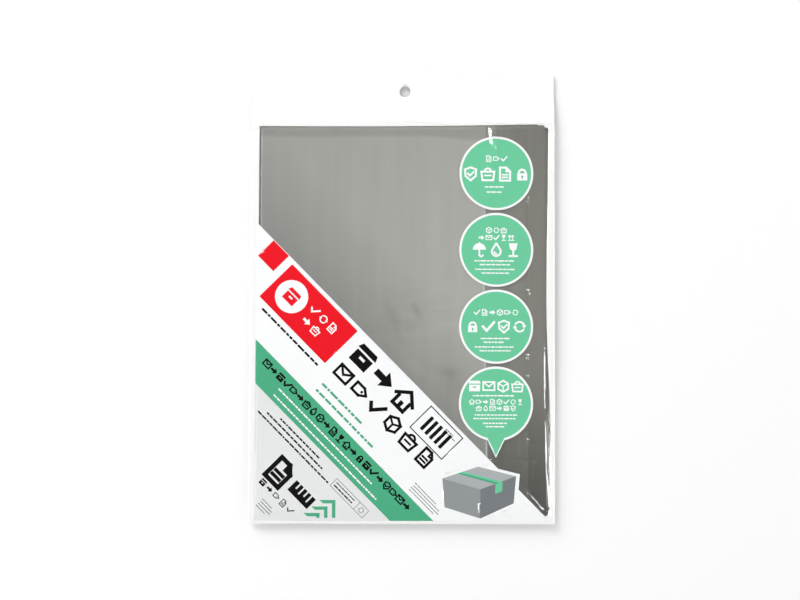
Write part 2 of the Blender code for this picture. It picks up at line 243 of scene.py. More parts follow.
def makeLamp(name, place, size, brightness, glossOnly):
    # An area lamp aimed at the pack. One for gloss only glints in the film's folds and lights
    # nothing else. The others don't show in gloss, so the film doesn't glare seen from the side.
    data = bpy.data.lights.new(name, "AREA")
    data.shape = "RECTANGLE"
    data.size, data.size_y = size
    data.energy = brightness * math.pi * size[0] * size[1]
    lamp = bpy.data.objects.new(name, data)
    lamp.location = place
    lamp.rotation_euler = (-Vector(place)).to_track_quat("-Z", "Y").to_euler()
    lamp.visible_diffuse = not glossOnly
    lamp.visible_glossy = glossOnly
    bpy.context.scene.collection.objects.link(lamp)


def makeWorld():
    # Soft light from all round, dim overhead so that glossy print stays dark where it mirrors that
    world = bpy.data.worlds.new("studioWorld")
    bpy.context.scene.world = world
    world.use_nodes = True
    tree = world.node_tree
    backdrop = tree.nodes["Background"]
    height = splitPlace(tree, addNode(tree, "ShaderNodeTexCoord").outputs["Generated"])["Z"]
    level = ramp(tree, height, *studio["overheadFrom"], studio["skyLevel"], studio["overheadLevel"])
    wire(tree, backdrop.inputs["Strength"], level)
    backdrop.inputs["Color"].default_value = (1, 1, 1, 1)


makeCamera()
makeFloor()
makeWorld()
for name, lamp in lamps.items():
    makeLamp(name, *lamp)
bpy.context.scene.view_settings.view_transform = "Standard"
print("studio made")


# Materials

crinkle = {
    "wideScale": 45.0, "wideShare": 0.6,
    "ridgeScale": 160.0, "ridgeBend": 1.5,
    "ridgesRight": (0.100, 0.122, 0.0, 0.45),  # from and to in x, none and strongest
    "ridgesLow": (-0.155, -0.186, 0.0, 0.6),  # the same in y
    "dentSlope": 0.85,
    "bump": 0.0006,
}

# Small dents of the film that glint: place, reach across and along, in millimetres
dents = (
    (105.9, 84.8, 1.1, 1.5), (105.9, 81.6, 1.0, 1.3), (105.8, 5.8, 1.1, 1.5),
    (106.5, 2.8, 1.1, 1.5), (106.0, -48.7, 1.1, 1.5), (105.8, -51.8, 1.1, 1.5),
    (105.6, -66.8, 1.1, 1.5), (106.1, -120.6, 1.1, 1.5), (101.0, -136.5, 0.5, 0.7),
    (111.1, -139.0, 1.0, 1.4), (106.5, -165.8, 1.6, 2.0), (120.6, 107.0, 0.9, 1.4),
)


def addSpot(tree, place, x, y, reachX, reachY, turn=0.0):
    # A cone of value 1 at its middle that falls evenly to 0 at its reach, all in millimetres
    moved = addNode(tree, "ShaderNodeMapping", {
        "Vector": place, "Location": (x * mm, y * mm, 0.0), "Rotation": (0.0, 0.0, turn),
        "Scale": (reachX * mm, reachY * mm, 1.0)}, vector_type="TEXTURE")
    return addNode(tree, "ShaderNodeTexGradient", {"Vector": moved.outputs["Vector"]},
                   gradient_type="SPHERICAL").outputs["Fac"]


def makeFilmCrinkle():
    # Height of the pouch film's fine crinkles, strongest along its right side and lower corners
    tree, given, out = newGroup("filmCrinkle", "ShaderNodeTree",
                                [("Depth", "Float", 1.0)], [("Height", "Float")])
    place = addNode(tree, "ShaderNodeTexCoord").outputs["Object"]
    split = splitPlace(tree, place)
    wide = noiseFrom(tree, place, crinkle["wideScale"], 3.0, Roughness=0.55)
    fine = noiseFrom(tree, place, crinkle["ridgeScale"], 1.0, Distortion=crinkle["ridgeBend"])
    edge = maths(tree, "MAXIMUM", ramp(tree, split["X"], *crinkle["ridgesRight"]),
                 ramp(tree, split["Y"], *crinkle["ridgesLow"]))
    total = plus(tree, times(tree, wide, crinkle["wideShare"]), times(tree, fine, edge))
    for x, y, reachX, reachY in dents:
        spot = addSpot(tree, place, x, y, reachX, reachY)
        total = plus(tree, total, times(tree, spot, reachX * crinkle["dentSlope"]))
    wire(tree, out["Height"], times(tree, total, given["Depth"]))
    return tree


sheetLook = {
    "streakStretch": (60.0, 3.0, 3.0),
    "cloudScale": 9.0, "grainScale": 900.0, "grainShare": 0.02, "streakShare": 0.5,
    # the pleats' tone is painted shade and highlight of their folds
    "pleatTurn": 1.0, "pleatStretch": (16.0, 55.0, 1.0), "pleatShadeTone": 0.30,
    # where the sheet is pleated, beside the print and at the flap's low end: place, reach, strength
    "pleats": ((10.0, -25.0, 60.0, 1.4), (104.0, -140.0, 45.0, 1.6), (60.0, 125.0, 40.0, 1.2)),
    # painted highlight: palest in one wide glow right of the middle: place and reach in millimetres
    "paintedGlow": (55.0, 20.0, 230.0, 300.0), "paintedGlowTone": 0.34, "baseTone": 0.72,
    # painted shade along the printed corner
    "shadeByPrint": (-0.062, 0.030, 0.70, 1.0),  # darker along the printed corner, in x + y
    "lowEnd": (-0.160, -0.060),
    "weldMiddle": 165.0, "weldEdge": (154.0, 158.6), "weldWave": 6.0, "waveLevel": 0.75,
    "pastMouth": (441.0, 447.0),
}

# Painted shade and highlight where the mailers were creased: place, reach across and along, turn,
# strength
creaseShading = (
    (12.1, -13.0, 4.5, 11.0, 0.45, -0.20), (-9.0, -14.0, 6.5, 15.0, 0.5, -0.15),
    (-1.5, -36.0, 4.0, 14.0, 0.45, -0.10), (11.2, -60.4, 12.0, 8.0, -0.7, 0.17),
    (11.2, -60.4, 5.0, 3.5, -0.7, -0.10), (40.0, -64.0, 15.0, 7.0, -0.2, -0.14),
    (44.0, -73.0, 18.0, 10.0, -0.7, -0.10), (99.0, 4.2, 9.0, 1.0, 0.0, -0.14),
    (99.0, -50.4, 8.0, 1.0, 0.0, -0.14), (108.0, -122.0, 9.0, 1.2, -0.1, -0.16),
    (105.1, -121.5, 3.5, 9.0, 0.2, 0.16), (98.6, -126.5, 2.4, 13.0, 0.0, 0.12),
    (100.4, -136.0, 11.0, 1.4, -0.08, -0.22), (104.3, -141.0, 4.0, 4.0, 0.3, 0.14),
    (106.6, -164.0, 4.5, 3.2, -0.7, 0.32), (110.0, -150.0, 1.8, 15.0, 0.0, 0.12),
)


def makeSheetGrainAndShade():
    # Uneven look of blown mailer film: soft streaks along the sheet, cloudy patches and fine grain
    # Its Shade also holds painted light: a painted glow, painted shade along the print, and painted
    # shade and highlight on pleats and creases
    look = sheetLook
    tree, given, out = newGroup("sheetGrainAndShade", "ShaderNodeTree",
                                [("Streak", "Float", 0.04), ("Cloud", "Float", 0.16),
                                 ("Low End", "Float", 1.0)],
                                [("Shade", "Float"), ("Height", "Float")])
    place = addNode(tree, "ShaderNodeTexCoord").outputs["Object"]
    split = splitPlace(tree, place)
    drawn = stretched(tree, place, look["streakStretch"])
    streaks = noiseFrom(tree, drawn, 1.0, 4.0, Roughness=0.65)
    clouds = noiseFrom(tree, place, look["cloudScale"], 3.0, Roughness=0.6)
    grain = noiseFrom(tree, place, look["grainScale"], 2.0)
    bent = stretched(tree, place, look["pleatStretch"], look["pleatTurn"])
    folds = noiseFrom(tree, bent, 1.0, 2.0, Distortion=0.8)
    mask = 0.0
    for x, y, reach, strength in look["pleats"]:
        mask = plus(tree, times(tree, addSpot(tree, place, x, y, reach, reach), strength), mask)

    first = times(tree, minus(tree, streaks, 0.5), given["Streak"])
    second = times(tree, minus(tree, clouds, 0.5), given["Cloud"])
    # painted shade and highlight along the pleats' folds, on top of their bump
    pleatShade = times(tree, minus(tree, folds, 0.5), times(tree, mask, look["pleatShadeTone"]))
    mottledAndShaded = plus(tree, first, second, pleatShade, 1.0)
    # painted shade and highlight of the creases
    for *spotPlace, strength in creaseShading:
        mottledAndShaded = plus(tree, mottledAndShaded, times(tree, addSpot(tree, place, *spotPlace), strength))

    # painted highlight: a wide soft glow right of the middle
    paintedGlow = addSpot(tree, place, *look["paintedGlow"])
    # painted shade, darker towards the printed corner
    printEdgeShade = ramp(tree, plus(tree, split["X"], split["Y"]), *look["shadeByPrint"], curve="LINEAR")
    ending = ramp(tree, split["Y"], *look["lowEnd"], given["Low End"], 1.0, curve="LINEAR")
    pale = times(tree, plus(tree, times(tree, paintedGlow, look["paintedGlowTone"]), look["baseTone"]), ending)
    wire(tree, out["Shade"], times(tree, mottledAndShaded, times(tree, pale, printEdgeShade)))
    waves = plus(tree, times(tree, streaks, look["streakShare"]), clouds, times(tree, folds, mask))
    wire(tree, out["Height"], plus(tree, waves, times(tree, grain, look["grainShare"])))
    return tree


filmCrinkle = makeFilmCrinkle()
sheetGrainAndShade = makeSheetGrainAndShade()


def addBump(tree, shader, height, distance, strength=1.0):
    bump = addNode(tree, "ShaderNodeBump", {"Height": height, "Distance": distance,
                                            "Strength": strength})
    wire(tree, shader.inputs["Normal"], bump.outputs["Normal"])


def crinkled(tree, shader, depth):
    group = addNode(tree, "ShaderNodeGroup", {"Depth": depth}, node_tree=filmCrinkle)
    addBump(tree, shader, group.outputs["Height"], crinkle["bump"])


def makeClearFilm():
    # Thin clear film: nearly all light passes, the rest is mirrored as from both of its faces
    material, tree, shader = newMaterial("clearPouchFilm", (1, 1, 1), 0.10,
                                         Metallic=1.0, Alpha=0.022)
    crinkled(tree, shader, 1.0)
    return material


def makeInk(name, colour):
    # Print on the inside of the film, so it has the film's gloss
    material, tree, shader = newMaterial(name, colour, 0.14)
    crinkled(tree, shader, 0.7)
    return material


def grained(tree, shader, streak, lowEnd, distance, strength=1.0):
    # Adds the sheet's grain as bump and gives back its outputs
    group = addNode(tree, "ShaderNodeGroup", {"Streak": streak, "Low End": lowEnd},
                    node_tree=sheetGrainAndShade).outputs
    addBump(tree, shader, group["Height"], distance, strength)
    return group


def makeMailerFilm(name, colour, roughness, streak, weld, lowEnd=1.0, mouthColour=None):
    look = sheetLook
    material, tree, shader = newMaterial(name, colour, roughness, Specular_IOR_Level=0.4)
    group = grained(tree, shader, streak, lowEnd, 0.0005, 0.6)
    attribute = addNode(tree, "ShaderNodeAttribute", attribute_name="sheetPlace")
    split = splitPlace(tree, attribute.outputs["Vector"])
    # The side welds are a shade darker with a soft, wavy edge
    wavy = times(tree, minus(tree, group["Height"], look["waveLevel"]), look["weldWave"])
    across = plus(tree, maths(tree, "ABSOLUTE", minus(tree, split["Y"], look["weldMiddle"])), wavy)
    shade = times(tree, group["Shade"], ramp(tree, across, *look["weldEdge"], 1.0, weld))
    tone = colour
    if mouthColour:
        # Just past the mouth the flap still looks as pale as the layers under it
        past = ramp(tree, split["X"], *look["pastMouth"], 1.0, 0.0)
        tone = addNode(tree, "ShaderNodeMix", {0: past, 6: (*colour, 1), 7: (*mouthColour, 1)},
                       data_type="RGBA").outputs[2]
    # The sheet's shade, painted light and shade included, scales the colour
    wire(tree, shader.inputs["Base Color"], scaleVector(tree, tone, shade))
    return material


def makeStripFinish(name, colour, roughness, lowEnd, depth):
    material, tree, shader = newMaterial(name, colour, roughness)
    shade = grained(tree, shader, 0.10, lowEnd, depth)["Shade"]
    # The sheet's shade, painted light and shade included, scales the colour
    wire(tree, shader.inputs["Base Color"], scaleVector(tree, colour, shade))
    return material


finish = {
    "clear": makeClearFilm(),
    "white": makeInk("whiteInk", (0.945, 0.955, 0.958)),
    "green": makeInk("mintInk", (0.155, 0.60, 0.345)),
    "red": makeInk("redInk", (0.85, 0.008, 0.018)),
    "black": makeInk("blackInk", (0.003, 0.003, 0.003)),
    "leaf": makeInk("leafInk", (0.075, 0.42, 0.23)),
    "tint": makeInk("paleTintInk", (0.79, 0.805, 0.80)),
    "ash": makeInk("ashInk", (0.42, 0.44, 0.45)),
    "grey": makeInk("greyInk", (0.29, 0.31, 0.32)),
    "slate": makeInk("slateInk", (0.19, 0.21, 0.22)),
    "wall": makeInk("whiteBackFilm", (0.975, 0.975, 0.960)),
}
inkNames = list(finish)
finish["mailer"] = makeMailerFilm("greyMailerFilm", (0.362, 0.364, 0.334), 0.45, 0.22, 0.80)
finish["inside"] = makeMailerFilm("darkMailerInside", (0.195, 0.194, 0.168), 0.40, 0.30, 1.0,
                                  lowEnd=0.76, mouthColour=(0.255, 0.255, 0.23))
print("materials made")


# Print: outlines in millimetres, each with its ink, lowest layer first

pouch = {
    "left": -128.5, "right": 128.5, "bottom": -191.0, "top": 191.0,
    "seamLeft": -126.9, "seamRight": 126.9, "seamBottom": -188.5, "headerLine": 152.5,
    "edgeLift": 3.98, "film": 0.06, "weldAir": 0.05, "frontRise": 4.18,
    "lipEnd": 140.0, "flapEnd": 115.0, "mouthRamp": 10.0, "mouthRise": 0.41,
    "holePlace": (1.3, 174.3), "holeRadius": 4.8,
}

layout = {
    "slant": -45.3, "corner": (-123.5, 61.8), "floor": -188.5, "headerPrint": 147.6,
    "bandTop": -69.4, "bandLow": -95.4,
    "discX": 79.0, "firstDisc": 104.7, "discPitch": 65.0, "discRadius": 31.4, "discRing": 1.9,
    "pointerHalf": 7.15, "pointerLength": 14.0,
    # places along and across the slant, then sizes
    "square": (30.2, -9.7, 18.5, 18.5), "label": (85.9, -22.7, 79.0, 38.7, 1.0),
    "seal": (65.6, -22.9), "sealRadius": 14.0, "sealIcon": 13.5,
    "tag": (232.6, -15.8, 37.8, 25.0), "tagBars": (221.5, 5.4, -16.0, 3.1, 14.5, 0.7),
    "note": (220.6, -106.2, 38.0, 8.2), "noteLine": 229.4, "noteIcon": (234.6, 5.6),
}

slantTurn = Matrix.Rotation(math.radians(layout["slant"]), 2)
fields = []


def onSlant(along, across):
    return slantTurn @ Vector((along, across)) + Vector(layout["corner"])


def addField(outline, ink):
    loop = [Vector(place) for place in outline]
    turning = sum(a.x * b.y - b.x * a.y for a, b in zip(loop, loop[1:] + loop[:1]))
    fields.append((loop if turning > 0 else loop[::-1], ink))


def circleAt(centre, radius, count=64, start=0.0, end=2 * math.pi):
    full = end - start >= 2 * math.pi - 1e-6
    turns = [start + (end - start) * i / count for i in range(count + (0 if full else 1))]
    return [Vector(centre) + radius * Vector((math.cos(t), math.sin(t))) for t in turns]


def slantStrip(upper, lower):
    # From the left print edge down to the bottom edge, or the whole corner where lower is None
    turn = math.radians(layout["slant"])
    x, top = layout["corner"]

    def leftEnd(across):
        return Vector((x, top + across / math.cos(turn)))

    def floorEnd(across):
        return Vector((x - (leftEnd(across).y - layout["floor"]) / math.tan(turn), layout["floor"]))

    ends = [Vector((x, layout["floor"]))] if lower is None else [floorEnd(lower), leftEnd(lower)]
    return [leftEnd(upper), floorEnd(upper)] + ends


def box(left, low, right, high):
    return [(left, low), (right, low), (right, high), (left, high)]


def slantBox(along, across, length, height, corner=0.0):
    places = box(along - length / 2, across - height / 2, along + length / 2, across + height / 2)
    if corner:
        rounded = []
        for i, (sx, sy) in enumerate(((1, 1), (-1, 1), (-1, -1), (1, -1))):
            centre = Vector((places[i][0] + sx * corner, places[i][1] + sy * corner))
            first = math.pi + i * math.pi / 2
            rounded += circleAt(centre, corner, 4, first, first + math.pi / 2)
        places = rounded
    return [onSlant(*place) for place in places]


def arc(x, y, radius, start, end, count=12):
    turns = [math.radians(start + (end - start) * i / count) for i in range(count + 1)]
    return [(x + radius * math.cos(t), y + radius * math.sin(t)) for t in turns]


def dot(x, y):
    return arc(x, y, .08, 0, 330, 11)


def closed(places):
    return places + places[:1]


# Pictograms in a unit square: lines with their weight factor, filled shapes, shapes left clear
icons = {
    "parcel": [("fill", box(.06, .08, .94, .62)),
               ("fill", [(.0, .7), (1.0, .7), (.9, .94), (.1, .94)]),
               ("clear", box(.36, .36, .64, .47))],
    "ruler": [("fill", box(.0, .26, 1.0, .74)), ("clear", box(.17, .5, .23, .74)),
              ("clear", box(.37, .42, .43, .74)), ("clear", box(.57, .5, .63, .74)),
              ("clear", box(.77, .42, .83, .74))],
    "house": [("line", 1, [(.03, .5), (.5, .92), (.97, .5)]),
              ("line", 1, [(.2, .5), (.2, .1), (.8, .1), (.8, .5)]),
              ("fill", box(.41, .1, .59, .4))],
    "letter": [("line", 1, closed(box(.04, .18, .96, .84))),
               ("line", .9, [(.04, .84), (.5, .46), (.96, .84)])],
    "cube": [("line", 1, closed([(.5, .05), (.9, .27), (.9, .73), (.5, .95),
                                 (.1, .73), (.1, .27)])),
             ("line", .8, [(.1, .73), (.5, .5), (.9, .73)]), ("line", .8, [(.5, .5), (.5, .05)])],
    "drop": [("line", 1, closed([(.5, .95)] + arc(.5, .38, .3, 28, -208, 18))),
             ("line", .7, arc(.5, .38, .14, 190, 280, 6))],
    "rain": [("fill", arc(.5, .5, .45, 0, 180, 18)), ("line", .9, [(.5, .95), (.5, .16)]),
             ("line", .9, arc(.62, .16, .12, 180, 360, 8))],
    "lock": [("fill", box(.16, .08, .84, .56)), ("line", 1.1, arc(.5, .58, .23, 0, 180)),
             ("clear", dot(.5, .34)), ("clear", box(.46, .16, .54, .34))],
    "tag": [("line", 1, closed([(.06, .26), (.6, .26), (.94, .52), (.6, .78), (.06, .78)])),
            ("fill", dot(.62, .52))],
    "upright": [("line", 1, [(.28, .2), (.28, .85)]),
                ("line", 1, [(.08, .66), (.28, .88), (.48, .66)]),
                ("line", 1, [(.74, .2), (.74, .85)]),
                ("line", 1, [(.54, .66), (.74, .88), (.94, .66)]),
                ("line", 1, [(.06, .08), (.94, .08)])],
    "glass": [("fill", [(.2, .95), (.8, .95), (.72, .55), (.57, .44), (.43, .44), (.28, .55)]),
              ("line", .9, [(.5, .45), (.5, .1)]), ("line", 1, [(.24, .08), (.76, .08)])],
    "bag": [("line", 1, closed([(.14, .08), (.86, .08), (.94, .66), (.06, .66)])),
            ("line", .9, arc(.5, .66, .22, 0, 180)), ("line", .8, [(.3, .4), (.7, .4)])],
    "tick": [("line", 1.4, [(.1, .5), (.38, .2), (.92, .82)])],
    "turn": [("line", 1, arc(.5, .5, .36, 25, 150)),
             ("fill", [(.68, .62), (1.0, .62), (.84, .36)]),
             ("line", 1, arc(.5, .5, .36, 205, 330)),
             ("fill", [(.0, .38), (.32, .38), (.16, .64)])],
    "page": [("line", 1, closed([(.16, .06), (.84, .06), (.84, .68), (.58, .94), (.16, .94)])),
             ("line", .8, [(.58, .94), (.58, .68), (.84, .68)]),
             ("line", .8, [(.32, .28), (.68, .28)]), ("line", .8, [(.32, .46), (.68, .46)])],
    "arrow": [("fill", [(.04, .36), (.5, .36), (.5, .12), (.97, .5), (.5, .88), (.5, .64),
                        (.04, .64)])],
    "shield": [("line", 1, closed([(.5, .94), (.88, .8), (.84, .36), (.5, .06), (.16, .36),
                                   (.12, .8)])),
               ("line", .9, [(.32, .52), (.46, .38), (.7, .64)])],
}


def lineShapes(points, weight):
    # A line as one four-sided shape for each stretch, long enough to close its corners
    cornerShare = 0.95 if len(points) < 9 else 0.35  # short steps of a curve need less
    shapes = []
    for start, end in zip(points, points[1:]):
        a, b = Vector(start), Vector(end)
        along = (b - a).normalized() * weight / 2
        side = Vector((-along.y, along.x))
        spare = along * cornerShare
        shapes.append([a - spare - side, b + spare - side, b + spare + side, a - spare + side])
    return shapes


def iconShapes(name, weight):
    shapes = []
    for part in icons[name]:
        if part[0] == "line":
            shapes += [(shape, True) for shape in lineShapes(part[2], weight * part[1])]
        else:
            shapes.append(([Vector(place) for place in part[1]], part[0] == "fill"))
    return shapes


def drawIcon(name, centre, size, turn, ink, paper, weight=0.12):
    spin = Matrix.Rotation(math.radians(turn), 2)
    for shape, inked in iconShapes(name, weight):
        addField([Vector(centre) + spin @ ((place - Vector((0.5, 0.5))) * size) for place in shape],
                 ink if inked else paper)


def drawFrame(outline, weight, ink):
    for shape in lineShapes(closed(outline), weight):
        addField(shape, ink)


# For each row: pictograms, first centre and pitch along the slant, centre across it, size,
# line weight, ink and paper
titles = (
    ("parcel arrow house", 144.8, 24.6, -15.8, 20.5, 0.15, "black", "white"),
    ("letter tag tick cube bag page", 143.0, 19.6, -37.2, 15.2, 0.15, "black", "white"),
    ("page ruler", 164.4, 26.0, -132.6, 23.0, 0.17, "black", "tint"),
    ("tick turn page", 87.5, 10.6, -17.0, 8.2, 0.13, "white", "red"),
    ("arrow bag", 89.5, 10.6, -28.4, 8.2, 0.13, "white", "red"),
    ("letter arrow parcel tick tag arrow bag drop cube arrow page glass house arrow lock parcel "
     "tick arrow shield tag letter arrow", 92.0, 7.95, -76.9, 7.3, 0.17, "black", "leaf"),
    ("parcel arrow tag page tick", 160.3, 8.1, -148.6, 6.2, 0.12, "black", "tint"),
)

# For each disc, rows of pictograms: names, height of the row above the disc's centre, size
discRows = (
    (("page tag tick", 12.4, 5.6), ("shield bag page lock", -0.6, 12.6)),
    (("cube turn bag", 16.6, 5.4), ("arrow letter tick glass upright", 10.3, 5.4),
     ("rain drop glass", 0.0, 12.4)),
    (("tick page arrow cube tag turn", 12.0, 5.6), ("lock tick shield turn", 0.0, 11.4)),
    (("parcel letter cube bag", 14.8, 10.4),
     ("house tag arrow page cube tick turn glass", 1.6, 5.0),
     ("bag drop letter arrow parcel shield", -3.8, 5.0)),
)

# A drawn box with its tape, lowest layer first
carton = {
    "halo": ("white", [(31.4, -151.6), (64.0, -140.6), (99.2, -149.2), (97.0, -175.6),
                       (66.2, -188.4), (33.4, -178.8)]),
    "left": ("grey", [(34, -153), (66, -162), (66, -186.4), (36, -177)]),
    "right": ("slate", [(66, -162), (96, -151), (94, -173.6), (66, -186.4)]),
    "top": ("ash", [(34, -153), (64, -143), (96, -151), (66, -162)]),
    "tape": ("green", [(46.6, -148.8), (51.4, -147.2), (84.6, -155.6), (84.4, -163.4),
                       (78.4, -165.8), (78.6, -157.6)]),
    "fold": ("leaf", [(46.6, -148.8), (49, -148), (81.4, -156.6), (78.6, -157.6)]),
}


def drawLabels():
    addField(slantBox(*layout["square"]), "red")
    addField(slantBox(*layout["label"]), "red")
    seal = onSlant(*layout["seal"])
    addField(circleAt(seal, layout["sealRadius"]), "white")
    drawIcon("parcel", seal, layout["sealIcon"], layout["slant"], "red", "white", 0.11)
    for names, first, pitch, across, size, weight, ink, paper in titles:
        for number, name in enumerate(names.split()):
            centre = onSlant(first + number * pitch, across)
            drawIcon(name, centre, size, layout["slant"], ink, paper, weight)
    drawFrame(slantBox(*layout["tag"]), 0.9, "black")
    first, pitch, *barShape = layout["tagBars"]
    for number in range(5):
        addField(slantBox(first + number * pitch, *barShape), "black")
    across, height = layout["note"][1], layout["note"][3]
    drawFrame(slantBox(*layout["note"]), 0.6, "grey")
    addField(slantBox(layout["noteLine"], across, 0.6, height), "grey")
    along, size = layout["noteIcon"]
    drawIcon("turn", onSlant(along, across), size, layout["slant"], "grey", "tint", 0.12)


def drawCorners():
    # Three green corner marks, stepped like a stair and cut off at the bottom edge
    for number in range(3):
        x, y = -55.5 - number * 6.6, -172.6 - number * 5.4
        reach = min(14.5, y - 2.4 - layout["floor"])
        addField([(x - 13.5, y + 1.4), (x - 10.5, y - 1.4), (x, y - 1.4), (x, y + 1.4)], "leaf")
        addField(box(x - 2.9, y - reach, x, y + 1.4), "leaf")


def drawDisc(number, rows):
    centre = Vector((layout["discX"], layout["firstDisc"] - number * layout["discPitch"]))
    full = layout["discRadius"]
    for radius, ink in ((full, "white"), (full - layout["discRing"], "green")):
        if number < len(discRows) - 1:
            addField(circleAt(centre, radius), ink)
        else:  # the last disc has a pointer
            half = math.asin(layout["pointerHalf"] / radius)
            outline = circleAt(centre, radius, 64, half - math.pi / 2, 1.5 * math.pi - half)
            addField(outline + [centre - Vector((0, radius + layout["pointerLength"]))], ink)
    for names, above, size in rows:
        names, pitch = names.split(), size * 1.16
        for place, name in enumerate(names):
            across = (place - (len(names) - 1) / 2) * pitch
            drawIcon(name, centre + Vector((across, above)), size, 0.0, "white", "green", 0.13)


def drawPrint():
    addField(box(pouch["left"], layout["headerPrint"], pouch["right"], pouch["top"]), "wall")
    addField(slantStrip(0.0, None), "white")
    addField(slantStrip(layout["bandLow"], None), "tint")
    addField(slantStrip(layout["bandTop"], layout["bandLow"]), "leaf")
    drawLabels()
    drawCorners()
    for ink, outline in carton.values():
        addField(outline, ink)
    for number, rows in enumerate(discRows):
        drawDisc(number, rows)


drawPrint()
print("print drawn", len(fields))


# Pouch film

# Where the film and the mailers under it bend, and how far. A pair starts and ends a slope.
drape = {
    "leftSlope": (-125.6, -119.9), "lowSlope": (-188.4, -178.0), "highSlope": (-151.0, -141.0),
    "mailerSag": 1.0,  # how far the mailers' upper edge sags in its middle
    "rimLeft": (-122.2, -121.1), "rimLow": (-187.9, -187.2), "rimHigh": (-0.6, -0.1),
    "rimRight": (-126.0, -125.2),
    "headerSink": 3.6, "headerSinkFrom": (-6.0, 24.0), "headerBow": 0.7, "headerBowLength": 62.0,
    "loose": 0.34, "looseScale": (38.0, 80.0), "gap": 0.12,
}

# Folds and creases of the film: start, end, height and half width in millimetres
creases = (
    (118.7, -26.0, 119.5, -110.0, 0.50, 0.9), (119.5, -98.0, 120.7, -152.0, 0.50, 0.9),
    (120.5, -143.0, 123.2, -178.0, 0.50, 0.9), (123.6, -174.0, 119.6, -184.0, 0.40, 0.9),
    (-118.7, 146.0, -119.0, 118.0, 0.25, 0.8), (-123.2, -50.0, -123.4, -82.0, 0.30, 0.9),
    (72.4, 131.0, 72.0, 60.0, 0.16, 2.0), (-121.4, -60.0, -121.2, -188.0, 0.22, 0.7),
    (-117.6, -100.0, -118.2, -188.0, 0.14, 0.8), (72.6, -96.0, 72.3, -150.0, 0.35, 1.4),
    (102.0, -128.0, 117.5, -131.0, 0.35, 1.2), (99.0, -150.0, 114.0, -153.0, 0.30, 1.2),
    (103.0, -163.0, 121.5, -183.0, 0.75, 1.4), (98.0, -166.0, 108.0, -176.0, 0.45, 1.2),
    (8.0, -18.0, 30.0, -62.0, 0.22, 3.0), (28.0, -10.0, 44.0, -50.0, 0.20, 2.4),
    (-8.0, 6.0, 12.0, -30.0, 0.16, 3.0), (84.0, -176.0, 92.0, -186.0, 0.40, 1.6),
    (60.0, 146.0, 66.0, 128.0, 0.25, 2.2),
)

# Ridges with straight flanks, which shine along their whole width
ridges = ((74.6, 148.0, 76.8, 125.0, 1.45, 3.6), (77.0, 133.0, 79.2, 114.0, 0.60, 2.6))


def smooth(value, low, high):
    share = np.clip((value - low) / (high - low), 0.0, 1.0)
    return share * share * (3.0 - 2.0 * share)


def noiseAt(x, y, scaleX, scaleY, seed):
    return np.array([noise.noise(Vector((a / scaleX, b / scaleY, seed))) for a, b in zip(x, y)])


def shoulder(y):
    # Where the film leaves the stack on its right side: the mailers stick out further low down
    return 119.4 + 3.6 * smooth(-y, 20.0, 180.0) + 1.2 * smooth(y, 20.0, 150.0)


def pouchRise(x, y):
    # 1 where the film lies on the stack, 0 at the seams. It drops steeply, then runs flat.
    left = smooth(x, *drape["leftSlope"])
    low = smooth(y, *drape["lowSlope"])
    high = smooth(-y, *drape["highSlope"])
    right = smooth(-x, -pouch["seamRight"], -shoulder(y))
    return left * low * high * right


def endPull(y):
    # How far the pouch film holds the mailers' free ends in on the right side
    pull = 4.3 * smooth(y, -130.0, 0.0) - 1.7 * smooth(y, 0.0, 140.0)
    return pull + 4.7 * smooth(-y, 176.0, 186.0)


def sheetTop(x):
    # Top edge of the foremost mailer, which lies askew and a little bent and has a cut corner
    along = x + 119.0
    sag = drape["mailerSag"] * np.sin(math.pi * np.clip(along / 239.0, 0, 1))
    edge = 143.1 + 0.0142 * along - sag
    return edge - 0.8 * smooth(x, 113.8, 114.8) - 2.2 * smooth(x, 119.2, 120.6)


def edgeLift(x, y):
    # The rim hangs near the height of the stack's top, so the back wall climbs steeply beside it
    left = smooth(x, *drape["rimLeft"])
    low = smooth(y, *drape["rimLow"])
    high = smooth(sheetTop(x) - y, *drape["rimHigh"])
    right = smooth(-x - endPull(y), *drape["rimRight"])
    return pouch["edgeLift"] * (1.0 - left * low * high * right)


def creaseHeight(x, y):
    total = np.zeros_like(x)
    for number, (startX, startY, endX, endY, height, half) in enumerate(creases + ridges):
        length = math.hypot(endX - startX, endY - startY)
        alongX, alongY = (endX - startX) / length, (endY - startY) / length
        along = (x - startX) * alongX + (y - startY) * alongY
        across = ((y - startY) * alongX - (x - startX) * alongY) / half
        ends = smooth(along, -2.0, length * 0.3) * smooth(length - along, -2.0, length * 0.3)
        bell = np.exp(-across ** 2)
        tent = np.clip(1.0 - np.abs(across), 0, None)
        total += height * ends * (bell if number < len(creases) else tent)
    return total


def frontHeight(x, y):
    # Outer face of the front wall: over the stack it lies loose, with slow waves and ripples
    rise = pouchRise(x, y)
    flat = 2 * pouch["film"] + pouch["weldAir"]
    base = (pouch["edgeLift"] + flat) * (1.0 - rise) + (pouch["frontRise"] + flat) * rise
    slow = drape["loose"] * np.clip(0.5 + noiseAt(x, y, *drape["looseScale"], 3.1), 0, None)
    rightRipple = np.exp(-np.abs(x - 117.5) / 7.0) * noiseAt(x, y, 8.0, 12.0, 7.7)
    rightRipple *= 0.22 - 0.14 * smooth(y, -60.0, 20.0)
    leftRipple = np.exp(-np.abs(x + 118.0) / 4.0) * noiseAt(x, y, 8.0, 14.0, 1.3) * 0.06
    loose = slow + rightRipple + leftRipple + creaseHeight(x, y) + drape["gap"]
    return base + rise * loose


def headerWave(x, y):
    # The header is a single flat strip that sinks towards the floor
    start, end = drape["headerSinkFrom"]
    bow = drape["headerBow"] * np.cos(x / drape["headerBowLength"]) ** 2
    line = pouch["headerLine"]
    return smooth(y, line + start, line + end) * (bow - drape["headerSink"])


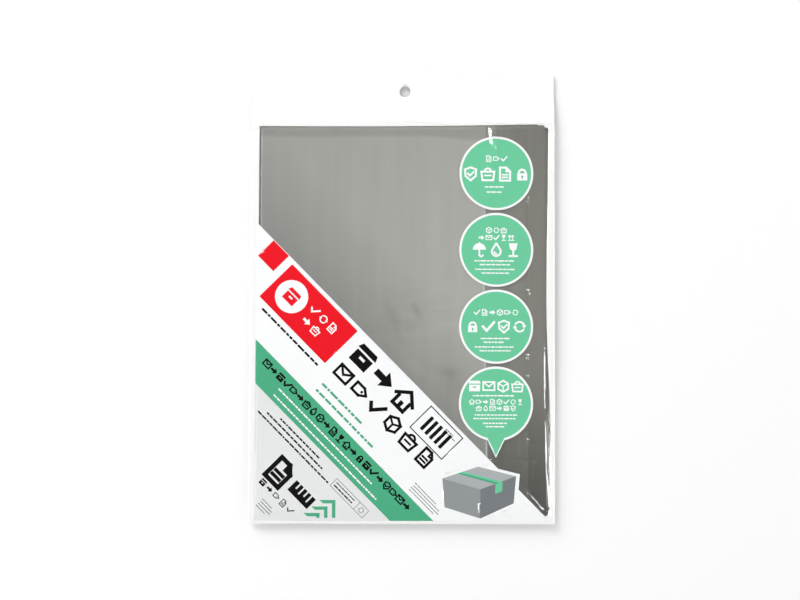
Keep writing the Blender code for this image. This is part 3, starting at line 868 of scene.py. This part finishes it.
def backHeight(x, y):
    # Outer face of the back wall, which climbs over the closure flap near the mouth
    foot = pouch["flapEnd"] - pouch["mouthRamp"]
    climb = np.clip((y - foot) / pouch["mouthRamp"], 0, 1)
    return edgeLift(x, y) + pouch["mouthRise"] * climb


def raised(flat, *heights):
    x, y = flat.T
    return np.column_stack([x, y, sum(height(x, y) for height in heights)])


def triangulate(xLines, yLines, outlines, hole=None):
    # A grid cut along the outlines. Gives its points, triangles and the topmost outline on each.
    points = [Vector((x, y)) for x in xLines for y in yLines]
    rings = []
    for outline in outlines + ([circleAt(*hole, 48)] if hole else []):
        rings.append(list(range(len(points), len(points) + len(outline))))
        points += outline
    places, _, triangles, _, _, owners = geometry.delaunay_2d_cdt(points, [], rings, 0, 1e-4)
    kept, tops = [], []
    for triangle, owned in zip(triangles, owners):
        if len(outlines) not in owned:
            kept.append(triangle)
            tops.append(max(owned) if owned else -1)
    return np.array(places), kept, tops


def makePouch():
    left, right, bottom, top = (pouch[side] for side in ("left", "right", "bottom", "top"))
    line, flapEnd = pouch["headerLine"], pouch["flapEnd"]
    # The grids are fine where the film bends sharply
    xFront = spreadAll(([left, pouch["seamLeft"], -114.5], 0.9), ([-114.5, 69.0], 3.1),
                       ([69.0, 80.0], 0.7), ([80.0, 100.0], 1.9), ([100.0, 114.0], 1.2),
                       ([114.0, pouch["seamRight"], right], 0.8))
    yFront = spreadAll(([bottom, pouch["seamBottom"], bottom + 9], 0.8),
                       ([bottom + 9, -158.0], 1.3), ([-158.0, 121.0], 2.2),
                       ([121.0, line - 9], 1.5), ([line - 9, line], 0.9), ([line, top], 3.0))
    xBack = spreadAll(([left, left + 8], 0.35), ([left + 8, 112.0], 6.0),
                      ([112.0, right - 4], 0.5), ([right - 4, right], 0.35))
    yBack = spreadAll(([bottom, bottom + 5], 0.35),
                      ([bottom + 5, flapEnd - pouch["mouthRamp"], flapEnd, pouch["lipEnd"]], 5.0))
    yFlap = spreadAll(([flapEnd, 142.3], 4.0), ([142.3, 147.5], 0.3), ([147.5, top], 4.0))

    hole = (pouch["holePlace"], pouch["holeRadius"])
    flat, frontFaces, tops = triangulate(xFront, yFront, [outline for outline, ink in fields], hole)
    front = raised(flat, frontHeight, headerWave)
    inks = [inkNames.index(fields[number][1]) if number >= 0 else 0 for number in tops]
    flat, backFaces, _ = triangulate(xBack, yBack, [])
    back = raised(flat, backHeight)
    flat, flapFaces, _ = triangulate(xBack, yFlap, [], hole)
    flap = raised(flat, edgeLift, headerWave)

    faces = list(frontFaces)
    for group, start in ((backFaces, len(front)), (flapFaces, len(front) + len(back))):
        faces += [tuple(start + i for i in reversed(face)) for face in group]
        inks += [inkNames.index("wall")] * len(group)
    piece = meshPiece("pouchFilm", np.vstack([front, back, flap]), faces,
                      [finish[name] for name in inkNames], inks)
    smoothThick(piece, pouch["film"])
    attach(piece, "root")
    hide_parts("film_pouch")
    return piece


pouchFilm = makePouch()
print("pouch made", len(pouchFilm.data.polygons))


# Small print: rows of plain word bars laid on the film

wordRows = {
    # along the slant: start, centre across, length, height of the bars
    "black": ((55.5, -47.5, 70.5, 1.8), (132.5, -101.0, 47.0, 1.4), (121.0, -105.4, 69.0, 1.4),
              (113.6, -110.0, 86.0, 1.4), (250.0, -58.0, 26.0, 0.6), (250.5, -60.4, 31.0, 0.6),
              (250.0, -62.8, 33.0, 0.6), (250.4, -65.2, 30.0, 0.6), (169.5, -158.4, 13.0, 0.6),
              (170.0, -160.8, 13.5, 0.6), (170.0, -163.2, 14.0, 0.6), (169.8, -165.6, 10.5, 0.6),
              (236.0, -7.8, 9.5, 0.7), (236.0, -9.9, 12.5, 0.7), (203.5, -104.6, 23.0, 0.8),
              (203.5, -107.6, 23.0, 1.2)),
    "leaf": ((136.0, -55.4, 47.5, 2.0), (136.0, -62.6, 70.5, 1.9)),
    "white": ((113.4, -84.6, 113.0, 1.3), (114.0, -91.0, 126.0, 1.3)),
    # on the discs: disc, height above its centre, length, height of the bars
    "discs": ((0, -11.6, 19.5, 1.2), (0, -16.0, 16.5, 1.2), (1, -9.4, 37.0, 1.2),
              (1, -12.6, 28.0, 1.1), (1, -16.6, 36.0, 1.1), (1, -19.8, 25.0, 1.1),
              (2, -10.0, 26.0, 1.2), (2, -13.2, 21.0, 1.2), (2, -17.2, 36.0, 1.1),
              (2, -20.4, 28.0, 1.1), (3, 6.8, 39.0, 1.2), (3, -9.4, 36.0, 1.1),
              (3, -12.4, 38.0, 1.1), (3, -16.4, 22.0, 1.1), (3, -19.2, 17.0, 1.1)),
}
wordSeeds = {"black": 4, "leaf": 9, "white": 6}


def makeWordTree():
    # Each point starts a row, which is filled with bars of uneven length that drop onto the film
    tree, given, out = newGroup("wordBars", "GeometryNodeTree", [
        ("Rows", "Geometry"), ("Film", "Object"), ("Lift", "Float", 0.00003),
        ("Shortest Word", "Float", 1.1), ("Longest Word", "Float", 4.2),
        ("Word Gap", "Float", 0.55), ("Seed", "Int", 1), ("Finish", "Material"),
    ], [("Geometry", "Geometry")])

    def stored(name, kind="FLOAT"):
        return addNode(tree, "GeometryNodeInputNamedAttribute", {"Name": name},
                       data_type=kind).outputs["Attribute"]

    def store(points, name, value):
        inputs = {"Geometry": points, "Name": name, "Value": value}
        return geoNode(tree, "StoreNamedAttribute", inputs, data_type="FLOAT", domain="POINT")

    length, height, angle = stored("rowLength"), stored("rowHeight"), stored("rowAngle")
    points = geoNode(tree, "MeshToPoints", {"Mesh": given["Rows"]})
    copies = maths(tree, "CEIL", maths(tree, "DIVIDE", length, height))
    words = geoNode(tree, "DuplicateElements", {"Geometry": points, "Amount": copies},
                    domain="POINT")
    size = addNode(tree, "FunctionNodeRandomValue", {
        "Seed": given["Seed"], 2: given["Shortest Word"], 3: given["Longest Word"]},
        data_type="FLOAT").outputs[1]
    word = times(tree, size, height)
    words = store(words, "wordLength", word)
    start = addNode(tree, "GeometryNodeAccumulateField", {
        "Value": plus(tree, word, times(tree, given["Word Gap"], height)),
        "Group ID": stored("rowNumber", "INT")}, data_type="FLOAT", domain="POINT")
    words = store(words, "wordStart", start.outputs["Trailing"])
    wordLength, wordStart = stored("wordLength"), stored("wordStart")
    tooFar = addNode(tree, "FunctionNodeCompare", {0: plus(tree, wordStart, wordLength), 1: length},
                     data_type="FLOAT", operation="GREATER_THAN").outputs[0]
    words = geoNode(tree, "DeleteGeometry", {"Geometry": words, "Selection": tooFar},
                    domain="POINT")
    reach = plus(tree, wordStart, times(tree, wordLength, 0.5))
    offset = joinPlace(tree, X=times(tree, reach, maths(tree, "COSINE", angle)),
                       Y=times(tree, reach, maths(tree, "SINE", angle)))
    words = geoNode(tree, "SetPosition", {"Geometry": words, "Offset": offset})
    bar = geoNode(tree, "MeshGrid",
                  {"Size X": 1.0, "Size Y": 1.0, "Vertices X": 5, "Vertices Y": 2})
    bars = geoNode(tree, "InstanceOnPoints", {
        "Points": words, "Instance": bar, "Rotation": joinPlace(tree, Z=angle),
        "Scale": joinPlace(tree, X=wordLength, Y=height, Z=1.0)})
    realised = geoNode(tree, "RealizeInstances", {"Geometry": bars})
    film = addNode(tree, "GeometryNodeObjectInfo", {"Object": given["Film"]},
                   transform_space="RELATIVE").outputs["Geometry"]
    above = addNode(tree, "ShaderNodeVectorMath",
                    {0: geoNode(tree, "InputPosition"), 1: (0, 0, 0.03)}).outputs[0]
    ray = addNode(tree, "GeometryNodeRaycast", {
        "Source Position": above, "Ray Direction": (0, 0, -1), "Ray Length": 0.06,
        "Target Geometry": film}).outputs
    rest = addNode(tree, "ShaderNodeVectorMath",
                   {0: ray["Hit Position"], 1: joinPlace(tree, Z=given["Lift"])}).outputs[0]
    dropped = geoNode(tree, "SetPosition",
                      {"Geometry": realised, "Position": rest, "Selection": ray["Is Hit"]})
    finished = geoNode(tree, "SetMaterial", {"Geometry": dropped, "Material": given["Finish"]})
    wire(tree, out["Geometry"], finished)
    return tree


wordTree = makeWordTree()


def makeWords(ink):
    # Rows are start place, angle, length and height, in millimetres and degrees
    rows = [(onSlant(along, across), layout["slant"], length, height)
            for along, across, length, height in wordRows[ink]]
    if ink == "white":
        for disc, above, length, height in wordRows["discs"]:
            y = layout["firstDisc"] - disc * layout["discPitch"] + above
            rows.append((Vector((layout["discX"] - length / 2, y)), 0.0, length, height))
    piece = meshPiece(ink + "WordBars", [(place.x, place.y, 0.0) for place, *shape in rows], [], [])
    for label, kind, values in (("rowLength", "FLOAT", [row[2] * mm for row in rows]),
                                ("rowHeight", "FLOAT", [row[3] * mm for row in rows]),
                                ("rowAngle", "FLOAT", [math.radians(row[1]) for row in rows]),
                                ("rowNumber", "INT", list(range(len(rows))))):
        piece.data.attributes.new(label, kind, "POINT").data.foreach_set("value", values)
    runTree(piece, wordTree, {"Film": pouchFilm, "Seed": wordSeeds[ink], "Finish": finish[ink]})
    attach(piece, "root")
    print(ink, "words", len(piece.data.polygons))


for ink in wordSeeds:
    makeWords(ink)


# Mailers

mailer = {
    "length": 440.0, "width": 330.0, "flap": 49.0, "ply": 0.06, "air": 0.06, "weld": 8.0,
    "foldAxis": (-119.29, 2.38), "middleY": -19.8, "outerFold": 1.62, "pitch": 0.33,
    "wrinkle": 0.06, "frontCell": 4.0, "cell": 7.0, "foldCell": 0.5,
    # for each mailer from the outermost: turn of its upper ply, slide of the fold and lift
    "set": ((0.81, 1.2, -2.1), (0.63, 0.8, -2.1), (0.24, 0.5, -2.2), (0.12, 0.3, -2.2),
            (0.06, 0.0, -2.2)),
    "cornerCut": (5.2, 1.2, 1.0, 1.0, 0.6),
}


def makeFoldTree():
    # Wraps a flat sheet, laid out in millimetres, round the fold of its mailer
    tree, given, out = newGroup("foldSheet", "GeometryNodeTree", [
        ("Geometry", "Geometry"), ("Fold Radius", "Float", 1.0), ("Skew", "Float", 0.0),
        ("Slide", "Float", 0.0), ("Lift", "Float", 0.0), ("Axis X", "Float", 0.0),
        ("Axis Z", "Float", 0.0), ("Middle Y", "Float", 0.0), ("Fold At", "Float", 0.0),
        ("Half Width", "Float", 0.0), ("Wrinkle", "Float", 0.03), ("Seed", "Float", 0.0),
        ("Finish", "Material"),
    ], [("Geometry", "Geometry")])
    radius, quarter = given["Fold Radius"], math.pi / 2
    place = geoNode(tree, "InputPosition")
    inputs = {"Geometry": given["Geometry"], "Name": "sheetPlace", "Value": place}
    stored = geoNode(tree, "StoreNamedAttribute", inputs, data_type="FLOAT_VECTOR", domain="POINT")
    centre = joinPlace(tree, X=plus(tree, given["Fold At"], given["Slide"]), Y=given["Half Width"])
    shifted = addNode(tree, "ShaderNodeVectorMath", {0: place, 1: centre}, operation="SUBTRACT")
    along, across, through = splitPlace(tree, shifted.outputs[0])
    patches = addNode(tree, "ShaderNodeTexNoise", {
        "Vector": place, "W": given["Seed"], "Scale": 0.028, "Detail": 3.0}, noise_dimensions="4D")
    bulge = times(tree, minus(tree, patches.outputs["Fac"], 0.5), given["Wrinkle"])
    reach = plus(tree, radius, through, bulge)
    angle = maths(tree, "MINIMUM", maths(tree, "DIVIDE", along, radius), quarter)
    angle = maths(tree, "MAXIMUM", angle, -quarter)
    straight = minus(tree, maths(tree, "ABSOLUTE", along), times(tree, radius, quarter))
    straight = maths(tree, "MAXIMUM", straight, 0.0)
    x = minus(tree, given["Axis X"], times(tree, reach, maths(tree, "COSINE", angle)))
    # The ply underneath lies nearly straight, only the one on top lies askew
    leaning = maths(tree, "MAXIMUM", along, times(tree, along, 0.1))
    askew = times(tree, leaning, maths(tree, "SINE", given["Skew"]))
    y = plus(tree, plus(tree, given["Middle Y"], given["Lift"]), plus(tree, across, askew))
    z = plus(tree, given["Axis Z"], times(tree, reach, maths(tree, "SINE", angle)))
    inMetres = scaleVector(tree, joinPlace(tree, X=plus(tree, x, straight), Y=y, Z=z), mm)
    moved = geoNode(tree, "SetPosition", {"Geometry": stored, "Position": inMetres})
    realised = geoNode(tree, "RealizeInstances", {"Geometry": moved})
    finished = geoNode(tree, "SetMaterial", {"Geometry": realised, "Material": given["Finish"]})
    wire(tree, out["Geometry"], finished)
    return tree


foldTree = makeFoldTree()


def flatSheet(endU, through, cell, upward, cut):
    # One ply laid out flat, with fine rows where it goes round the fold and cut flap corners
    width, farEnd = mailer["width"], mailer["length"] + mailer["flap"]
    foldAt = farEnd / 2
    us = spreadAll(([0.0, foldAt - 5, foldAt - 3], cell),
                   ([foldAt - 3, foldAt + 4.5], mailer["foldCell"]),
                   ([foldAt + 4.5, endU - cut, endU], cell))
    vs = spread([0.0, mailer["weld"], width - mailer["weld"], width], cell)
    verts = []
    for u in us:
        cutHere = max(0.0, u - (farEnd - cut))
        free = (u - foldAt) / (farEnd - foldAt)
        held = math.copysign(smooth(abs(free), 0.5, 1.0), free)
        bent = drape["mailerSag"] * math.sin(math.pi * abs(free))
        for v in vs:
            pulled = u - endPull(v + mailer["middleY"] - width / 2) * held
            sag = bent * smooth(v, 0.5 * width, width)
            verts.append((pulled, min(max(v, cutHere), width - cutHere) - sag, through))
    wide = len(vs)
    faces = [(i * wide + j, (i + 1) * wide + j, (i + 1) * wide + j + 1, i * wide + j + 1)
             for i in range(len(us) - 1) for j in range(wide - 1)]
    return verts, faces if upward else [face[::-1] for face in faces]


def makeMailer(index):
    skew, slide, lift = mailer["set"][index]
    half = mailer["ply"] + mailer["air"] / 2
    cell = mailer["cell"] if index else mailer["frontCell"]
    cut = mailer["cornerCut"][index]
    full = mailer["length"] + mailer["flap"]
    frontVerts, faces = flatSheet(mailer["length"], half, cell, True, cut)
    backVerts, backFaces = flatSheet(full, -half, cell, False, cut)
    faces += [tuple(len(frontVerts) + i for i in face) for face in backFaces]
    sheet = np.array(frontVerts + backVerts) / mm
    piece = meshPiece("mailer%dSheet" % (index + 1), sheet, faces, [])
    runTree(piece, foldTree, {
        "Fold Radius": mailer["outerFold"] - index * mailer["pitch"], "Skew": math.radians(skew),
        "Slide": slide, "Lift": lift, "Axis X": mailer["foldAxis"][0],
        "Axis Z": mailer["foldAxis"][1], "Middle Y": mailer["middleY"], "Fold At": full / 2,
        "Half Width": mailer["width"] / 2, "Wrinkle": mailer["wrinkle"], "Seed": 3.0 * index,
        "Finish": finish["mailer"]})
    piece.data.materials.append(finish["inside"])
    smoothThick(piece, mailer["ply"], inside=1)
    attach(piece, "root")
    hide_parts("mailer_%d" % (index + 1))
    print("mailer", index + 1, len(piece.data.polygons))


for index in range(len(mailer["set"])):
    makeMailer(index)


# Strips that keep their CAD shape: name, colour, roughness, tone at the low end, depth of the grain
strips = {
    "release_liner": ("releaseLiner", (0.216, 0.214, 0.188), 0.28, 0.60, 0.0004),
    "glue_strip": ("hotMeltGlue", (0.75, 0.72, 0.62), 0.35, 1.0, 0.0008),
    "closure_tape": ("closureTape", (0.95, 0.95, 0.93), 0.30, 1.0, 0.0003),
}

for prefix, look in strips.items():
    material = makeStripFinish(*look)
    for name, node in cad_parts.items():
        if name.startswith(prefix):
            for slot in node.material_slots:
                slot.material = material
print("strips dressed")
